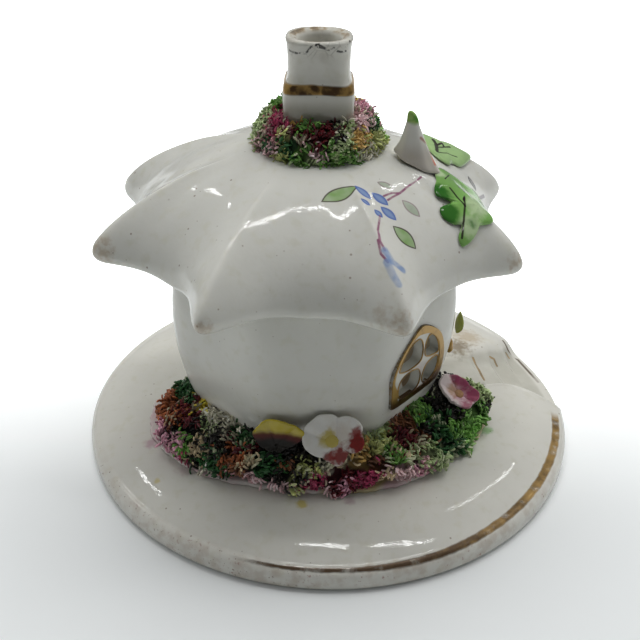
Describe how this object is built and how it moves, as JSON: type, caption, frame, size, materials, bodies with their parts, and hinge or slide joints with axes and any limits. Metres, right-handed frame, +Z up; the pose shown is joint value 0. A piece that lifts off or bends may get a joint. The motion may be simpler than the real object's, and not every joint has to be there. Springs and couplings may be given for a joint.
{
  "type": "pastille burner",
  "caption": "Porcelain pastille burner: a lift-off cottage with an umbrella roof and a hollow chimney, on a round stand with a stepped path, trimmed with moss and flowers.",
  "frame": {"origin": "centre of the round stand's underside, on the surface that it stands on", "axes": "+Z up, -Y towards the viewer of the picture, +X towards the door and the stepped path"},
  "size_m": [0.112, 0.112, 0.091],
  "materials": {
    "porcelain": "glossy glaze",
    "gilt_porcelain": "gilded",
    "moss": "coloured clay shreds",
    "flower": "glossy enamel",
    "leaf": "glossy enamel",
    "pastille": "matt pressed charcoal"
  },
  "bodies": {
    "stand": {"stand": "porcelain", "pastille": "pastille"},
    "cottage": {"cottage_wall": "porcelain", "roof": "porcelain", "chimney": "porcelain", "window_right": "gilt_porcelain", "window_left": "gilt_porcelain", "door": "gilt_porcelain", "moss_bed": "porcelain", "back_bed": "porcelain", "moss_left": "moss", "moss_front_left": "moss", "moss_front": "moss", "moss_right": "moss", "moss_path": "moss", "moss_back": "moss", "chimney_moss_left": "moss", "chimney_moss_front": "moss", "chimney_moss_right": "moss", "chimney_moss_back": "moss", "white_flower": "flower", "white_flower_eye": "flower", "pink_flower": "flower", "pink_flower_eye": "flower", "yellow_flower": "flower", "roof_leaf_front": "leaf", "roof_leaf_back": "leaf", "roof_bud": "flower", "climber_leaf": "leaf", "climber_bloom": "flower"}
  },
  "joints": [
    {"name": "cottage_lift", "type": "slide", "parent": "stand", "child": "cottage", "axis": [0, 0, 1], "range_m": [0, 0.06]}
  ]
}
